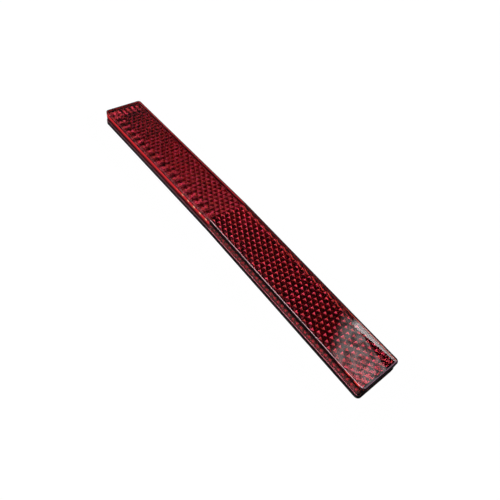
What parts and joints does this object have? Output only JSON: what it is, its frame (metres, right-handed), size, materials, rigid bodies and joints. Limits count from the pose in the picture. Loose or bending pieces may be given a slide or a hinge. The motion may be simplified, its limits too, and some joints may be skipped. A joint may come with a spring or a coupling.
{
  "type": "retro reflector strip",
  "caption": "Long slim red reflector strip with a corner-cube prism lens, a slight bend at its crown, a black back plate and self-adhesive foam tape.",
  "frame": {"origin": "bottom centre of the bounding box, on the surface that the ends of the liners stand on, under the crown", "axes": "+X along the bar from the half called short to the half called long, which are equal on this strip, +Y across it, +Z out of the reflecting face at the crown"},
  "size_m": [0.18, 0.02, 0.0101],
  "materials": {
    "red_acrylic": "clear red acrylic, polished",
    "black_abs": "black ABS, satin moulded",
    "foam_tape": "dark grey acrylic foam",
    "liner_paper": "siliconised paper, slight sheen"
  },
  "bodies": {
    "root": {"lens": "red_acrylic", "back_plate": "black_abs", "short_tape": "foam_tape", "long_tape": "foam_tape", "short_liner": "liner_paper", "long_liner": "liner_paper"}
  },
  "joints": []
}
